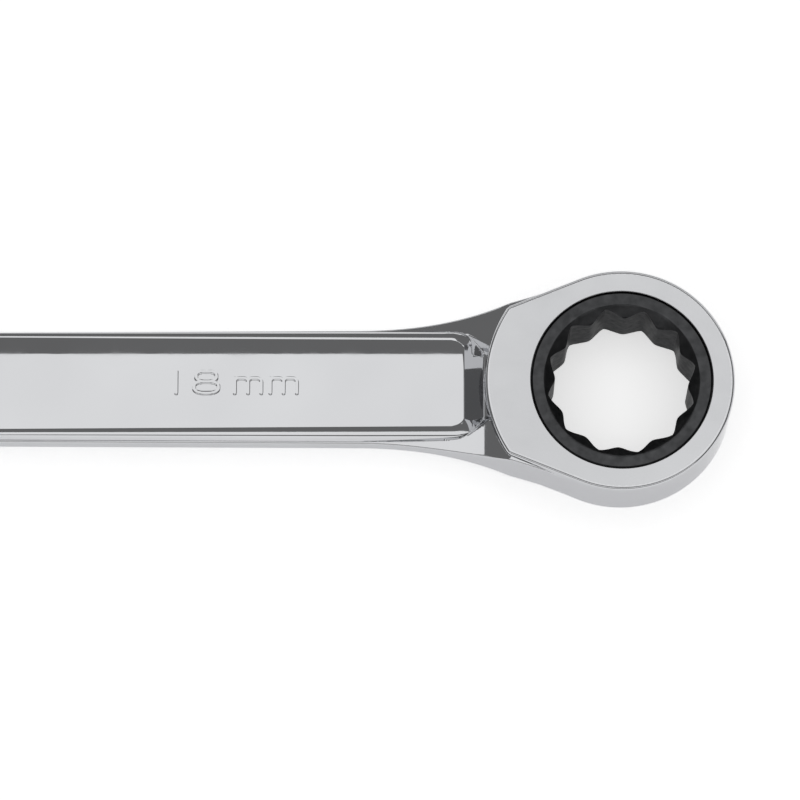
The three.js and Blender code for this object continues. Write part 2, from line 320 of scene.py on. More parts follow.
def outline():
    """The whole silhouette, counterclockwise, slot and all."""
    slope, upper = upper_half_of_shank()
    quarter = math.pi / 2
    head = arc((0, 0), HEAD_R, -quarter - slope, quarter + slope, 0.5)
    out_angle = math.atan2(JAW_OUT[1], JAW_OUT[0])
    tip = math.acos(JAW_MOUTH / JAW_R)
    turn = 0.12
    tip_side = JAW_R * math.sin(tip)
    outer = 2.0
    inner = 1.1
    upper_arc = arc(JAW, JAW_R, JAW_TANGENT, out_angle - tip - turn, 0.5)[1:]
    mouth = bend(upper_arc[-1], in_jaw(JAW_MOUTH, tip_side), in_jaw(JAW_MOUTH, tip_side - outer), 8)
    mouth += line(mouth[-1], in_jaw(JAW_MOUTH, JAW_GAP + inner), 0.6)
    mouth += bend(mouth[-1], in_jaw(JAW_MOUTH, JAW_GAP), in_jaw(JAW_MOUTH - inner, JAW_GAP), 6)
    mouth += line(mouth[-1], in_jaw(FLAT_BACK, JAW_GAP), 1.0)
    mouth += bend(mouth[-1], in_jaw(THROAT_BACK, JAW_GAP), in_jaw(THROAT_BACK, 0), 24)
    mouth += bend(mouth[-1], in_jaw(THROAT_BACK, -JAW_GAP), in_jaw(FLAT_BACK, -JAW_GAP), 24)
    mouth += line(mouth[-1], in_jaw(JAW_MOUTH - inner, -JAW_GAP), 1.0)
    mouth += bend(mouth[-1], in_jaw(JAW_MOUTH, -JAW_GAP), in_jaw(JAW_MOUTH, -JAW_GAP - inner), 6)
    mouth += line(mouth[-1], in_jaw(JAW_MOUTH, outer - tip_side), 0.6)
    lower_arc = arc(JAW, JAW_R, out_angle + tip + turn, 2 * math.pi - JAW_TANGENT, 0.5)
    mouth += bend(mouth[-1], in_jaw(JAW_MOUTH, -tip_side), lower_arc[0], 8)
    lower = [(x, -y) for x, y in reversed(upper[:-1])]
    points = np.array(head + upper + upper_arc + mouth + lower_arc[1:] + lower)
    gaps = np.linalg.norm(points - np.roll(points, 1, axis=0), axis=1)
    return points[gaps > 1e-4]


def edge_distance(points, loop):
    """How far each point is from a closed loop of straight edges."""
    a = loop
    span = np.roll(loop, -1, axis=0) - a
    length = (span**2).sum(1)
    best = np.empty(len(points))
    for start in range(0, len(points), 400):
        p = points[start:start + 400, None, :] - a[None]
        t = np.clip((p * span).sum(2) / length, 0, 1)
        away = p - t[..., None] * span
        best[start:start + 400] = np.sqrt((away**2).sum(2).min(1))
    return best


def offset(loop, distance):
    """The loop's points moved inwards, as runs that keep their distance from it."""
    along = np.roll(loop, -1, axis=0) - np.roll(loop, 1, axis=0)
    along /= np.linalg.norm(along, axis=1)[:, None]
    moved = loop + distance * np.stack([-along[:, 1], along[:, 0]], 1)
    return moved, edge_distance(moved, loop) > 0.985 * distance


# ---- the wrench's surface, as a height over the middle plane -----------------------------


def smooth_max(a, b, blend):
    near = np.maximum(blend - np.abs(a - b), 0) / blend
    return np.maximum(a, b) + near * near * blend / 4


def step(low, high, value):
    t = np.clip((value - low) / (high - low), 0, 1)
    return t * t * (3 - 2 * t)


def rounded(depth, radius, top):
    """A flat top with a round edge, by how deep a point lies inside the edge."""
    inside = np.clip(depth, 0, radius)
    drop = radius - np.sqrt(np.maximum(radius**2 - (radius - inside) ** 2, 0))
    return top - drop + STEEP * np.minimum(depth, 0)


def face_depth(x, y, radius, tangent, shoulder_radius):
    """How deep a point lies inside a head's face: a circle, two tangents and a wider arc."""
    reach = np.hypot(x, y)
    beyond = np.abs(np.arctan2(y, x)) - tangent
    across = x * math.cos(tangent) + np.abs(y) * math.sin(tangent)
    shoulder = np.minimum(shoulder_radius - reach, radius - across)
    if tangent < math.pi / 2:
        beyond = -beyond
    return np.where(beyond > 0, shoulder, radius - reach)


def head_depth(x, y):
    return face_depth(x, y, HEAD_R, HEAD_TANGENT, SHOULDER_R)


def jaw_depth(x, y):
    return face_depth(x - JAW[0], y - JAW[1], JAW_R, JAW_TANGENT, JAW_SHOULDER_R)


def between(x, a, b):
    """A width that runs from a's to b's between their places, and stays level beyond."""
    return a[1] + (b[1] - a[1]) * np.clip((x - a[0]) / (b[0] - a[0]), 0, 1)


def rim_half_width(x):
    return between(x, RIM_AT_HEAD, RIM_AT_MIDDLE)


def panel_half_width(x):
    return between(x, PANEL_AT_HEAD, PANEL_AT_MIDDLE)


def bevel_width(x):
    return np.minimum(BEVEL, rim_half_width(x) - panel_half_width(x) - LEDGE)


def panel_reach(x, y):
    """How far a point lies past the panel's corners, lengthwise (to the bevel's scale) and across."""
    middle = (PANEL_RIGHT + PANEL_LEFT) / 2
    half = (PANEL_RIGHT - PANEL_LEFT) / 2
    along = (np.abs(x - middle) - half) * END_SCALE + PANEL_CORNER
    return along, np.abs(y) - panel_half_width(x) + PANEL_CORNER


def panel_distance(x, y):
    """How far a point lies outside the raised panel's edge."""
    along, across = panel_reach(x, y)
    outside = np.hypot(np.maximum(along, 0), np.maximum(across, 0))
    return outside + np.minimum(np.maximum(along, across), 0) - PANEL_CORNER


def crowned(y):
    return PANEL_TOP - np.minimum(np.abs(y), 9) ** 2 / (2 * PANEL_CROWN)


def panel_height(x, y):
    """The crowned panel, a shallow facet round it and a steep edge; its ends slope evenly."""
    away = panel_distance(x, y)
    along, across = panel_reach(x, y)
    wide = bevel_width(x)
    crown = crowned(y)
    facet = FACET * wide
    low, high = FACET_SLOPES
    on_facet = np.clip(away, 0, facet)
    side = low * on_facet + (high - low) * on_facet**2 / (2 * facet)
    left = PANEL_DROP - (low + high) / 2 * facet
    run = wide - facet
    past = np.clip(away - facet, 0, run)
    side = side + high * past + (left - high * run) * (past / run) ** 3
    end = PANEL_END_DROP * np.clip(away / wide, 0, 1)
    endwise = np.maximum(along, 0) ** 2 / (np.maximum(along, 0) ** 2 + np.maximum(across, 0) ** 2 + 1e-9)
    return crown - side + (side - end) * endwise - STEEP * np.maximum(away - wide, 0)


def rim_height(x, y):
    """The rim's upper level: low along the shank, climbing to each head, dipped in the valleys."""
    to_head = np.clip((x + 34) / 18, 0, 1) ** 2.9
    to_jaw = np.clip((JAW[0] + 33 - x) / 16, 0, 1) ** 2.5
    ramp = RIM_TOP + RIM_CLIMB * to_head + RIM_CLIMB_AT_JAW * to_jaw - RIM_LEAN * (np.abs(y) - 8)
    valley_end = VALLEY_HALF - 0.65 * np.clip(x + 22, 0, 3)
    middle = 1 - step(valley_end, valley_end + VALLEY_SIDE, np.abs(y))
    rise = VALLEY_SLOPE * np.clip(x - PANEL_RIGHT - END_BEVEL, 0, 3)
    floor = np.minimum(ramp, crowned(y) - PANEL_END_DROP + rise)
    return ramp + (floor - ramp) * middle


def height(x, y, depth):
    head = rounded(np.minimum(head_depth(x, y), depth), HEAD_EDGE, HEAD_TOP)
    jaw = rounded(np.minimum(jaw_depth(x, y), depth), JAW_EDGE, JAW_TOP)
    rim = rounded(depth, RIM_EDGE, rim_height(x, y))
    level = smooth_max(rim, panel_height(x, y), PANEL_FILLET)
    level = smooth_max(level, head, HEAD_FILLET)
    return smooth_max(level, jaw, JAW_FILLET)


# ---- the size mark ----------------------------------------------------------------------

MARK_DEPTH = 0.085
MARK_STROKE = 0.24
MARK_LEFT = -65.0
MARK_RIGHT = -45.6
MARK_HALF = 2.3
DIGIT_TOP = 1.6
LETTER_TOP = 0.6
MARK_BASE = -1.6
SQUARISH = 0.75


def oval(cx, cy, rx, ry, start=0.0, end=2 * math.pi):
    """A squarish oval, or a stretch of one."""
    points = []
    for a in np.linspace(start, end, 60):
        c, s = math.cos(a), math.sin(a)
        across = rx * math.copysign(abs(c) ** SQUARISH, c)
        points.append((cx + across, cy + ry * math.copysign(abs(s) ** SQUARISH, s)))
    return points


def mark_strokes():
    """The centre lines of "18 mm", stamped in the panel."""
    strokes = [[(-63.9, MARK_BASE), (-63.9, DIGIT_TOP)]]
    strokes.append(oval(-59.6, 0.84, 1.45, 0.76))
    strokes.append(oval(-59.6, -0.76, 1.75, 0.84))
    for centre in (-53.6, -48.5):
        for stem in (-1.9, 0.0, 1.9):
            strokes.append([(centre + stem, MARK_BASE), (centre + stem, LETTER_TOP - 0.7)])
        for arch in (-0.95, 0.95):
            strokes.append(oval(centre + arch, LETTER_TOP - 0.7, 0.95, 0.7, 0, math.pi))
        strokes.append([(centre - 1.9, LETTER_TOP - 0.7), (centre - 1.9, LETTER_TOP)])
    return strokes


def mark_sink(x, y):
    """How far the stamped mark sinks below the panel."""
    sink = np.zeros(len(x))
    near = (x > MARK_LEFT) & (x < MARK_RIGHT) & (np.abs(y) < MARK_HALF)
    points = np.stack([x[near], y[near]], 1)
    away = np.full(len(points), 9.0)
    for stroke in mark_strokes():
        a = np.array(stroke[:-1])
        span = np.array(stroke[1:]) - a
        p = points[:, None, :] - a[None]
        t = np.clip((p * span).sum(2) / (span**2).sum(1), 0, 1)
        gap = np.sqrt(((p - t[..., None] * span) ** 2).sum(2).min(1))
        away = np.minimum(away, gap)
    sink[near] = MARK_DEPTH * (1 - step(MARK_STROKE - 0.14, MARK_STROKE + 0.14, away))
    return sink


# ---- points to mesh the surface through --------------------------------------------------


class Plan:
    """Points and edges on the middle plane, to be joined into triangles."""

    def __init__(self):
        self.points = []
        self.edges = []

    def loop(self, points, keep=None, closed=True):
        keep = np.ones(len(points), bool) if keep is None else keep
        start = len(self.points)
        numbers = np.where(keep, start + np.cumsum(keep) - 1, -1)
        self.points += [tuple(p) for p in np.asarray(points)[keep]]
        last = len(points) if closed else len(points) - 1
        for i in range(last):
            a, b = numbers[i], numbers[(i + 1) % len(points)]
            if a >= 0 and b >= 0:
                self.edges.append((int(a), int(b)))

    def scatter(self, points):
        self.points += [tuple(p) for p in points]


def face_outline(radius, tangent, shoulder_radius, grow):
    """The shoulder side of a head's face, from one tangent point round to the other."""
    straight = math.sqrt(shoulder_radius**2 - radius**2)
    away = 1 if tangent > math.pi / 2 else -1
    touch = np.array([math.cos(tangent), math.sin(tangent)])
    along = away * np.array([-touch[1], touch[0]])
    corner = radius * touch + straight * along
    angle = math.atan2(corner[1], corner[0])
    side = [tuple((radius + grow) * touch + along * s) for s in np.arange(1.5, straight, 0.4)]
    if away > 0:
        middle = arc((0, 0), shoulder_radius + grow, angle, 2 * math.pi - angle, 0.35)
    else:
        middle = arc((0, 0), shoulder_radius + grow, angle, -angle, 0.35)
    return np.array(side + middle[1:-1] + [(x, -y) for x, y in reversed(side)])


def panel_loop(share):
    """A loop round the raised panel, at a share of its bevel's width outside its edge."""
    points = []
    corner = PANEL_CORNER / END_SCALE
    for x in np.arange(PANEL_LEFT + corner + 1, PANEL_RIGHT - corner, 3.0):
        points.append((x, -(panel_half_width(x) + share * bevel_width(x))))
    for side in (PANEL_RIGHT, PANEL_LEFT):
        sign = 1 if side == PANEL_RIGHT else -1
        centre_x = side - sign * corner
        half = panel_half_width(centre_x) - PANEL_CORNER
        wide = PANEL_CORNER + share * bevel_width(np.array(centre_x))
        turn = np.linspace(-math.pi / 2, 0, 17)
        low = [(centre_x + sign * wide / END_SCALE * math.cos(a), -half + wide * math.sin(a)) for a in turn]
        run = [(low[-1][0], y) for y in np.linspace(-half, half, 36)[1:-1]]
        high = [(x, -y) for x, y in reversed(low)]
        cap = low + run + high
        points += cap if sign > 0 else cap[::-1]
        if sign > 0:
            for x in np.arange(PANEL_RIGHT - corner - 1, PANEL_LEFT + corner, -3.0):
                points.append((x, panel_half_width(x) + share * bevel_width(x)))
    return np.array(points)


def lattice(low_x, high_x, high_y, pitch):
    """A triangular lattice of points."""
    xs = np.arange(low_x, high_x, pitch)
    ys = np.arange(-high_y, high_y, pitch * 0.866)
    grid = [(x + (pitch / 2 if j % 2 else 0), y) for j, y in enumerate(ys) for x in xs]
    return np.array(grid)


# Rows of points: inside the silhouette, out from a head's face, and round the panel (in bevel widths)
EDGE_ROWS = (0.02, 0.07, 0.15, 0.25, 0.36, 0.48, 0.62)
FACE_ROWS = (
    -0.62, -0.48, -0.36, -0.25, -0.15, -0.07, -0.02, -0.005, 0.005, 0.03, 0.06, 0.085, 0.1, 0.115,
    0.13, 0.15, 0.18, 0.27, 0.36, 0.5, 0.7, 1.0,
)
PANEL_ROWS = (
    -0.4, -0.15, -0.05, 0.0, 0.06, 0.15, 0.25, 0.36, 0.47, 0.58, 0.68, 0.77, 0.85, 0.91, 0.95, 0.973,
    0.99, 1.0, 1.01, 1.027, 1.05, 1.083,
)


def plan_of_surface(loop, marked):
    """Rows along every edge, then scattered points: fine in the hollow and the mark, wide elsewhere."""
    plan = Plan()
    plan.loop(loop)
    for depth in EDGE_ROWS:
        moved, keep = offset(loop, depth)
        plan.loop(moved, keep)
    for grow in FACE_ROWS:
        for values, centre in (
            ((HEAD_R, HEAD_TANGENT, SHOULDER_R), (0, 0)),
            ((JAW_R, JAW_TANGENT, JAW_SHOULDER_R), JAW),
        ):
            points = face_outline(*values, grow) + np.array(centre)
            keep = edge_distance(points, loop) > 0.05
            if grow > 0.2:
                keep &= panel_distance(*points.T) > bevel_width(points[:, 0]) + 0.2
            plan.loop(points, keep, closed=False)
    for share in PANEL_ROWS:
        points = panel_loop(share)
        keep = np.abs(points[:, 1]) < rim_half_width(points[:, 0]) - 0.02
        plan.loop(points, keep | (points[:, 0] > -36) | (points[:, 0] < JAW[0] + 33))
    wide = lattice(-25, -17.5, 9.6, 0.25)
    x, y = wide.T
    wide = wide[(x < -22.6) | (np.abs(y) > 8.7)]
    close = lattice(-22.5, -17.6, 8.6, 0.12)
    x, y = close.T
    close = close[(x > -20.7) | (np.abs(y) > 3.8)]
    for points in (wide, close):
        x, y = points.T
        away = panel_distance(x, y)
        free = (away > 0.3) & (np.abs(away - bevel_width(x)) > 0.18) & (head_depth(x, y) < -0.05)
        free &= edge_distance(points, loop) > 0.5
        plan.scatter(points[free & within(points, loop)])
    neck = lattice(-36, -9, 15, 0.5)
    jaw_neck = lattice(JAW[0] + 9, JAW[0] + 37, 16, 0.6)
    for points, depth_of in ((neck, head_depth), (jaw_neck, jaw_depth)):
        x, y = points.T
        free = (panel_distance(x, y) > 1.06 * bevel_width(x) + 0.1) & (depth_of(x, y) < -1.1)
        free &= (x < -25.1) | (x > -17.3) | (np.abs(y) > 9.7)
        plan.scatter(points[free & (edge_distance(points, loop) > 0.7) & within(points, loop)])
    flat = np.concatenate([lattice(-22, 17, 17, 2.2), lattice(JAW[0] - 19, JAW[0] + 24, 19, 2.2)])
    x, y = flat.T
    deep = (head_depth(x, y) > 0.9) | (jaw_depth(x, y) > 0.9)
    plan.scatter(flat[deep & (edge_distance(flat, loop) > 0.9) & within(flat, loop)])
    for y in np.arange(-5.6, 5.7, 0.4):
        xs = np.arange(PANEL_LEFT + 1.5, PANEL_RIGHT - 1.5, 2.0)
        if marked:
            xs = xs[(xs < MARK_LEFT - 0.3) | (xs > MARK_RIGHT + 0.3) | (abs(y) > MARK_HALF + 0.1)]
        plan.scatter([(x, y) for x in xs])
    if marked:
        xs = np.arange(MARK_LEFT, MARK_RIGHT, 0.1)
        plan.scatter([(x, y) for y in np.arange(-MARK_HALF, MARK_HALF + 0.01, 0.1) for x in xs])
    return plan


def within(points, loop):
    """Whether each point lies inside a closed loop."""
    x, y = points[:, 0][:, None], points[:, 1][:, None]
    x0, y0 = loop[:, 0][None], loop[:, 1][None]
    x1, y1 = np.roll(loop, -1, axis=0).T
    crosses = (y0 > y) != (y1[None] > y)
    with np.errstate(divide="ignore", invalid="ignore"):
        at = x0 + (y - y0) * (x1[None] - x0) / (y1[None] - y0)
    return ((crosses & (x < at)).sum(1) % 2).astype(bool)


def surface(loop, marked):
    """One side of the wrench: its points in the plane, triangles, heights and normals."""
    plan = plan_of_surface(loop, marked)
    border = list(range(len(loop)))
    result = delaunay_2d_cdt([Vector(p) for p in plan.points], plan.edges, [border], 1, 1e-5)
    flat = np.array([tuple(v) for v in result[0]])
    triangles = np.array([f for f in result[2] if len(f) == 3])
    depth = edge_distance(flat, loop)
    on_edge = depth < 1e-4
    x, y = flat.T
    small = 0.004
    values = {}
    for name, dx, dy in (("c", 0, 0), ("l", -small, 0), ("r", small, 0), ("d", 0, -small), ("u", 0, small)):
        moved = flat + (dx, dy)
        moved_depth = depth if name == "c" else edge_distance(moved, loop)
        z = height(moved[:, 0], moved[:, 1], moved_depth)
        values[name] = z - mark_sink(moved[:, 0], moved[:, 1]) if marked else z
    slope_x = (values["r"] - values["l"]) / (2 * small)
    slope_y = (values["u"] - values["d"]) / (2 * small)
    normal = np.stack([-slope_x, -slope_y, np.ones(len(flat))], 1)
    normal /= np.linalg.norm(normal, axis=1)[:, None]
    along = np.roll(loop, -1, axis=0) - np.roll(loop, 1, axis=0)
    along /= np.linalg.norm(along, axis=1)[:, None]
    tree = KDTree(len(loop))
    for i, p in enumerate(loop):
        tree.insert((p[0], p[1], 0), i)
    tree.balance()
    order = {}
    for i in np.where(on_edge)[0]:
        _, number, _ = tree.find((flat[i, 0], flat[i, 1], 0))
        normal[i] = (along[number, 1], -along[number, 0], 0)
        order[number] = i
    return flat, triangles, values["c"], normal, order


def wrench_skin():
    """The wrench without its gear seat, as one closed mesh with its exact normals."""
    loop = outline()
    points, normals, faces = [], [], []
    borders = []
    for marked, side in ((True, 1), (False, -1)):
        flat, triangles, z, normal, order = surface(loop, marked)
        start = len(points)
        points += [(p[0], p[1], side * h) for p, h in zip(flat, z)]
        normals += [(n[0], n[1], side * n[2]) for n in normal]
        faces += [tuple(int(v) + start for v in (t if side > 0 else t[::-1])) for t in triangles]
        borders.append([start + order[i] for i in range(len(loop))])
    top, bottom = borders
    count = len(loop)
    for i in range(count):
        k = (i + 1) % count
        faces.append((top[i], bottom[i], bottom[k], top[k]))
    return np.array(points), np.array(normals), faces


# ---- pieces ------------------------------------------------------------------------------


def turned_solid(name, profile, columns, material):
    """A solid of revolution, from (radius, z) points that run from its top disc to its bottom one."""
    angles = np.linspace(0, 2 * math.pi, columns, endpoint=False)
    points = [(r * math.cos(a), r * math.sin(a), z) for r, z in profile for a in angles]
    faces = grid_faces(len(profile), columns, wrap_rows=False)
    faces.append(tuple(range(columns)))
    faces.append(tuple(range(len(points) - columns, len(points))))
    obj = mesh_object(name, points, faces, material)
    outward(obj)
    return obj


def block(name, low, high, material):
    corners = [(x, y, z) for x in (low[0], high[0]) for y in (low[1], high[1]) for z in (low[2], high[2])]
    faces = [(0, 1, 3, 2), (4, 6, 7, 5), (0, 4, 5, 1), (2, 3, 7, 6), (0, 2, 6, 4), (1, 5, 7, 3)]
    obj = mesh_object(name, corners, faces, material)
    outward(obj)
    return obj


def peg(name, low, high, radius, material, columns=48):
    """A round solid along x."""
    angles = np.linspace(0, 2 * math.pi, columns, endpoint=False)
    points = [(x, radius * math.cos(a), radius * math.sin(a)) for x in (low, high) for a in angles]
    faces = grid_faces(2, columns, wrap_rows=False)
    faces += [tuple(range(columns)), tuple(range(columns, 2 * columns))]
    obj = mesh_object(name, points, faces, material)
    outward(obj)
    return obj


def seat_tool(material):
    """What is cut out of the ratchet head: the stepped bore, the ring groove and the pawl's pocket."""
    chamfer = 0.08
    deep = HEAD_TOP + 1
    low, high = RING_Z - GROOVE_HALF, RING_Z + GROOVE_HALF
    profile = [
        (FRONT_BORE + chamfer + 1, deep), (FRONT_BORE, HEAD_TOP - chamfer), (FRONT_BORE, SEAT_TOP),
        (BACK_BORE, SEAT_TOP), (BACK_BORE, high), (GROOVE_R, high), (GROOVE_R, low), (BACK_BORE, low),
        (BACK_BORE, chamfer - HEAD_TOP), (BACK_BORE + chamfer + 1, -deep),
    ]
    tool = turned_solid("seat_tool", profile, 288, material)
    low_corner = (POCKET_BACK, -POCKET_HALF, POCKET_LOW)
    boolean(tool, block("pocket", low_corner, (-10, POCKET_HALF, SEAT_TOP - 0.02), material), "UNION")
    boolean(tool, peg("hole", SPRING_END - 0.3, -16, SPRING_HOLE, material), "UNION")
    return tool


def wrench_piece(chrome, machined, satin):
    points, normals, faces = wrench_skin()
    body = mesh_object("wrench_forging", points, faces, chrome)
    body.data.materials.append(machined)
    body.data.materials.append(satin)
    for polygon in body.data.polygons:
        if abs(polygon.center.z - origin.z) > (HEAD_TOP - 0.002) * MM:
            polygon.material_index = 2
    tree = KDTree(len(points))
    for i, p in enumerate(points):
        tree.insert(p, i)
    tree.balance()
    tool = seat_tool(machined)
    boolean(body, tool, "DIFFERENCE")
    smooth_by_angle(body, 35)
    mesh = body.data
    corner_normals = [tuple(c.vector) for c in mesh.corner_normals]
    centre = np.array(origin)
    for polygon in mesh.polygons:
        if polygon.material_index == 1:
            continue
        for corner in polygon.loop_indices:
            where = (np.array(mesh.vertices[mesh.loops[corner].vertex_index].co) - centre) / MM
            _, number, gap = tree.find(where)
            if gap < 0.002:
                corner_normals[corner] = tuple(normals[number])
            else:
                corner_normals[corner] = tuple(polygon.normal)
    mesh.normals_split_custom_set(corner_normals)
    return body


def gear_piece(material):
    """The toothed ring with the twelve-point opening, as rows of points down its inside and out."""
    columns = 720
    angle = np.arange(columns) * 2 * math.pi / columns
    ramp = (np.arange(columns) % (columns // TEETH)) / (columns // TEETH)
    tooth = TOOTH_ROOT + (TOOTH_TIP - TOOTH_ROOT) * ramp / 0.9
    part = np.abs(2 * (((angle - POINT_TURN) * POINTS / (2 * math.pi) + 0.5) % 1) - 1)
    swell = (part**POINT_CURVE + (1 - np.cos(math.pi * part)) / 2) / 2
    point = POINT_INNER + (POINT_OUTER - POINT_INNER) * swell
    level = np.ones(columns)
    rows = [((HUB_R - 0.18) * level, GEAR_TOP * level)]
    for r in (12.4, 11.9, 11.45, LEAD_IN_R + 0.04):
        rows.append((r * level, GEAR_TOP * level))
    for share in (0.02, 0.15, 0.3, 0.45, 0.6, 0.75, 0.9, 0.98):
        depth = share * (LEAD_IN_R - point)
        rows.append((LEAD_IN_R - depth, GEAR_TOP - depth))
    start = GEAR_TOP - (LEAD_IN_R - point) - 0.06
    back = np.maximum(point, BACK_LEAD_IN_R)
    end = back - point - GEAR_TOP + 0.03
    for share in (0, 0.02, 0.2, 0.4, 0.6, 0.8, 0.98, 1):
        rows.append((point, start + (end - start) * share))
    rows.append((back + 0.03, -GEAR_TOP * level))
    for r in (11.4, 12.6, TOOTH_TIP - 0.2):
        rows.append((r * level, -GEAR_TOP * level))
    low, high = RING_Z - GROOVE_HALF, RING_Z + GROOVE_HALF
    root = RING_R - RING_WIRE - 0.3
    flange = [(TOOTH_TIP, 0.2 - GEAR_TOP), (TOOTH_TIP, low), (root, low), (root, high), (TOOTH_TIP, high)]
    flange.append((TOOTH_TIP, BAND_BOTTOM))
    rows += [(r * level, z * level) for r, z in flange]
    rows.append((tooth, BAND_BOTTOM * level - 0.01))
    rows.append((tooth, (BAND_TOP - 0.1) * level))
    rows.append((tooth - 0.1, BAND_TOP * level))
    rows.append((HUB_R * level, BAND_TOP * level))
    rows.append((HUB_R * level, (GEAR_TOP - 0.18) * level))
    points = []
    for r, z in rows:
        points += [(r[j] * math.cos(angle[j]), r[j] * math.sin(angle[j]), z[j]) for j in range(columns)]
    gear = mesh_object("ratchet_ring", points, grid_faces(len(rows), columns), material)
    outward(gear)
    smooth_by_angle(gear, 28)
    return gear


def tooth_radius(angle):
    ramp = (angle * TEETH / (2 * math.pi)) % 1
    rise = np.where(ramp < 0.9, ramp / 0.9, (1 - ramp) / 0.1)
    return TOOTH_ROOT + (TOOTH_TIP - TOOTH_ROOT) * rise


def pawl_piece(material):
    """A toothed block, rounded at the back, with a blind hole for its spring."""
    angles = np.radians(np.arange(164.0, 196.01, 0.25))
    radius = PAWL_BACKLASH + np.maximum(tooth_radius(angles), tooth_radius(angles - math.radians(0.4)))
    front = [(r * math.cos(a), r * math.sin(a)) for r, a in zip(radius, angles)]
    front = [(x, y) for x, y in front if abs(y) < PAWL_HALF - 0.02]
    top_x, bottom_x = front[0][0], front[-1][0]
    round_back = 0.7
    back_start = (PAWL_BACK + round_back, -PAWL_HALF)
    back = bend(back_start, (PAWL_BACK, -PAWL_HALF), (PAWL_BACK, round_back - PAWL_HALF), 6)
    back_top = [(x, -y) for x, y in reversed(back)]
    outline_points = front + [(bottom_x, -PAWL_HALF), back_start] + back
    outline_points += back_top + [(PAWL_BACK + round_back, PAWL_HALF), (top_x, PAWL_HALF)]
    count = len(outline_points)
    points = [(x, y, z) for z in (PAWL_LOW, BAND_TOP) for x, y in outline_points]
    faces = grid_faces(2, count, wrap_rows=False)
    faces += [tuple(range(count)), tuple(range(count, 2 * count))]
    pawl = mesh_object("pawl_block", points, faces, material)
    outward(pawl)
    boolean(pawl, peg("blind_hole", PAWL_BACK - 1, SPRING_START + 0.3, SPRING_HOLE, material), "DIFFERENCE")
    modifier = pawl.modifiers.new("edges", "BEVEL")
    modifier.width = 0.06 * MM
    modifier.segments = 2
    modifier.limit_method = "ANGLE"
    modifier.angle_limit = math.radians(50)
    depsgraph = bpy.context.evaluated_depsgraph_get()
    mesh = bpy.data.meshes.new_from_object(pawl.evaluated_get(depsgraph), depsgraph=depsgraph)
    pawl.modifiers.clear()
    pawl.data = mesh
    smooth_by_angle(pawl, 30)
    return pawl


def spring_piece(material):
    """A coil spring whose end turns lie closed, against the pawl and the head."""
    turns = 7.0
    share = np.linspace(0, 1, int(turns * 28))
    closed = 1 / turns
    pitch = np.where((share < closed) | (share > 1 - closed), 2 * SPRING_WIRE * turns, 0)
    open_length = abs(SPRING_END - SPRING_START) - 2 * SPRING_WIRE - 2 * 2 * SPRING_WIRE
    pitch = np.where(pitch > 0, pitch, open_length / (1 - 2 * closed))
    run = np.concatenate([[0], np.cumsum((pitch[1:] + pitch[:-1]) / 2)]) * (share[1] - share[0])
    run *= (abs(SPRING_END - SPRING_START) - 2 * SPRING_WIRE) / run[-1]
    angle = share * turns * 2 * math.pi
    path = np.stack([SPRING_START - SPRING_WIRE - run, SPRING_R * np.cos(angle), SPRING_R * np.sin(angle)], 1)
    spring = sweep(path, SPRING_WIRE, 12, "pawl_coil")
    spring.data.materials.append(material)
    return spring


def ring_piece(material):
    half_gap = math.radians(12)
    angles = np.linspace(math.radians(60) + half_gap, math.radians(420) - half_gap, 200)
    path = np.stack([RING_R * np.cos(angles), RING_R * np.sin(angles), np.full(len(angles), RING_Z)], 1)
    ring = sweep(path, RING_WIRE, 20, "spring_ring")
    ring.data.materials.append(material)
    return ring


# ---- materials ---------------------------------------------------------------------------


class Nodes:
    """Short ways to add nodes to one material."""

    def __init__(self, name):
        self.material = bpy.data.materials.new(name)
        self.material.use_nodes = True
        self.tree = self.material.node_tree
        self.shader = self.tree.nodes["Principled BSDF"]
        self.where = self.add("ShaderNodeTexCoord").outputs["Object"]

    def add(self, kind, **values):
        node = self.tree.nodes.new(kind)
        for key, value in values.items():
            setattr(node, key, value)
        return node

    def join(self, output, target):
        self.tree.links.new(output, target)

    def stretch(self, scale):
        mapping = self.add("ShaderNodeMapping")
        mapping.inputs["Scale"].default_value = scale
        self.join(self.where, mapping.inputs["Vector"])
        return mapping.outputs["Vector"]

    def noise(self, scale, detail=3.0, stretch=(1, 1, 1)):
        node = self.add("ShaderNodeTexNoise")
        node.inputs["Scale"].default_value = scale
        node.inputs["Detail"].default_value = detail
        self.join(self.stretch(stretch), node.inputs["Vector"])
        return node.outputs["Fac"]

    def ramp(self, value, stops):
        node = self.add("ShaderNodeValToRGB")
        elements = node.color_ramp.elements
        while len(elements) < len(stops):
            elements.new(0.5)
        for element, (place_at, shade) in zip(elements, stops):
            element.position = place_at
            element.color = (*shade, 1) if isinstance(shade, tuple) else (shade, shade, shade, 1)
        self.join(value, node.inputs["Fac"])
        return node.outputs["Color"]

    def bump(self, value, distance, strength=1.0, after=None):
        node = self.add("ShaderNodeBump")
        node.inputs["Distance"].default_value = distance
        node.inputs["Strength"].default_value = strength
        self.join(value, node.inputs["Height"])
        if after:
            self.join(after, node.inputs["Normal"])
        return node.outputs["Normal"]

    def socket(self, name):
        return self.shader.inputs[name]


def chrome_material(name, low, high, rough, smooth):
    """Polished chrome: faint orange peel from the forging, fine wiping marks along the shank."""
    n = Nodes(name)
    n.socket("Metallic").default_value = 1.0
    n.socket("Specular Tint").default_value = (0.7, 0.7, 0.71, 1)
    n.join(n.ramp(n.noise(60, 2), [(0.3, low), (0.7, high)]), n.socket("Base Color"))
    n.join(n.ramp(n.noise(220, 5, (1, 1.6, 1)), [(0.35, smooth), (0.75, rough)]), n.socket("Roughness"))
    peel = n.bump(n.noise(420, 2), 0.0000016)
    wipes = n.bump(n.noise(900, 4, (0.06, 1.6, 1.6)), 0.0000008, 1.0, peel)
    n.join(wipes, n.socket("Normal"))
    return n.material


